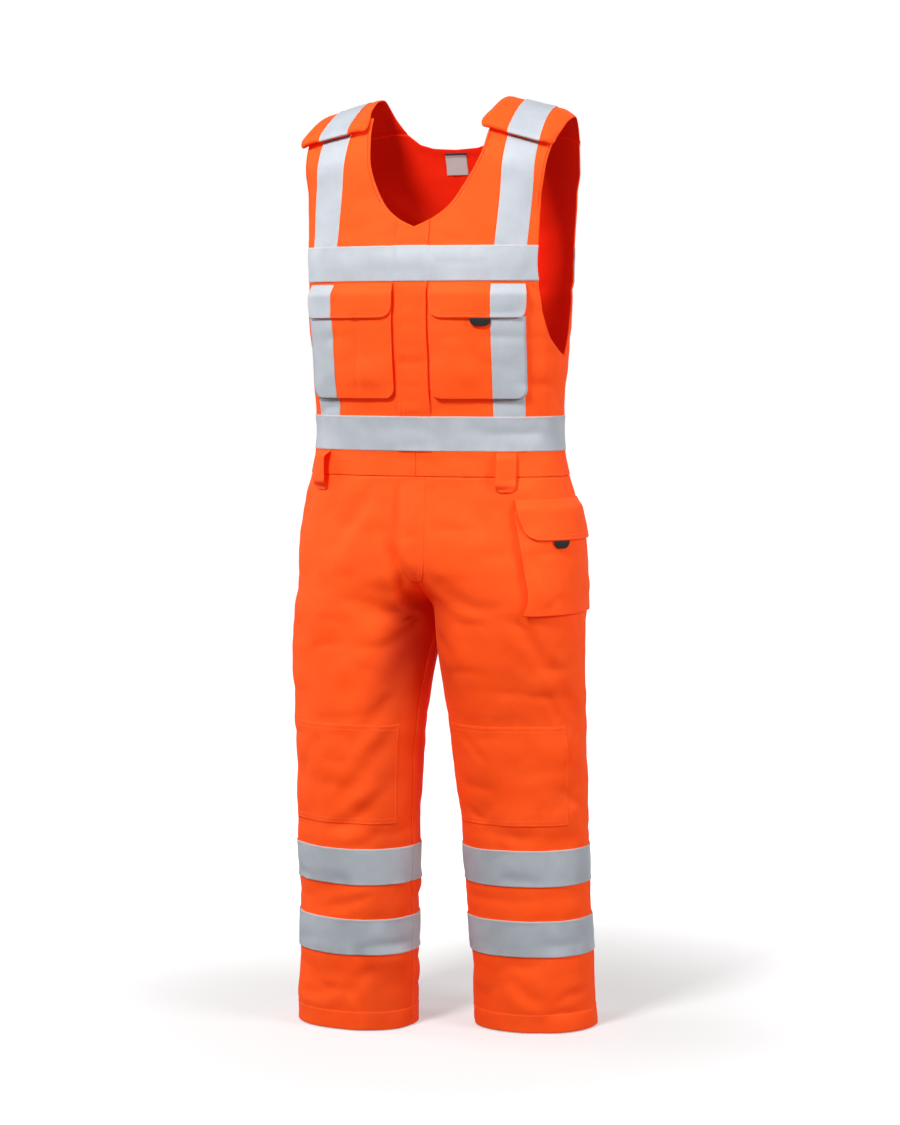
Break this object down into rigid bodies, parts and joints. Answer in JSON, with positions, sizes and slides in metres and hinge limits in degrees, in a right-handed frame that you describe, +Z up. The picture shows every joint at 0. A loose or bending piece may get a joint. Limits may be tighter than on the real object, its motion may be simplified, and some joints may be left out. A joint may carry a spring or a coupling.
{
  "type": "high-visibility reflective bib overalls, filled out with no wearer",
  "caption": "Sleeveless high-visibility bib overalls with shoulder straps, chest and thigh pockets and reflective tape round the chest, waist and legs.",
  "frame": {"origin": "between the wearer's shoulders, level with the undersides of the shoulder straps on their centre lines", "axes": "+Z up, -Y towards the front of the garment, +X towards the wearer's left"},
  "size_m": [0.439, 0.2688, 1.3557],
  "materials": {
    "twill": "matte fluorescent orange twill",
    "reflective_tape": "silver retroreflective tape",
    "tab": "black hook-and-loop tab",
    "label": "bare woven label"
  },
  "bodies": {
    "root": {"back_bib": "twill", "back_tape_lower_left": "reflective_tape", "back_tape_lower_right": "reflective_tape", "back_tape_upper_left": "reflective_tape", "back_tape_upper_right": "reflective_tape", "belt_loop_back_left": "twill", "belt_loop_back_right": "twill", "belt_loop_front_left": "twill", "belt_loop_front_right": "twill", "bib_tape_lower_left": "reflective_tape", "bib_tape_lower_right": "reflective_tape", "bib_tape_upper_left": "reflective_tape", "bib_tape_upper_right": "reflective_tape", "cargo_flap": "twill", "cargo_pocket": "twill", "cargo_tab": "tab", "chest_flap_left": "twill", "chest_flap_right": "twill", "chest_pocket_left": "twill", "chest_pocket_right": "twill", "chest_tab": "tab", "chest_tape_back": "reflective_tape", "chest_tape_front_left": "reflective_tape", "chest_tape_front_right": "reflective_tape", "chest_tape_middle": "reflective_tape", "flap_tape_left": "reflective_tape", "flap_tape_right": "reflective_tape", "fly_shield": "twill", "front_bib_left": "twill", "front_bib_right": "twill", "knee_patch_left": "twill", "knee_patch_right": "twill", "leg_tape_1_left": "reflective_tape", "leg_tape_1_right": "reflective_tape", "leg_tape_2_left": "reflective_tape", "leg_tape_2_right": "reflective_tape", "neck_label": "label", "placket_lower": "twill", "placket_upper": "twill", "pocket_tape_left": "reflective_tape", "pocket_tape_right": "reflective_tape", "shoulder_strap_left": "twill", "shoulder_strap_right": "twill", "strap_tape_left": "reflective_tape", "strap_tape_right": "reflective_tape", "trouser_back_left": "twill", "trouser_back_right": "twill", "trouser_front_left": "twill", "trouser_front_right": "twill", "waist_tape_back": "reflective_tape", "waist_tape_front_left": "reflective_tape", "waist_tape_front_right": "reflective_tape", "waist_tape_middle": "reflective_tape", "waistband_back": "twill", "waistband_front_left": "twill", "waistband_front_right": "twill"}
  },
  "joints": []
}
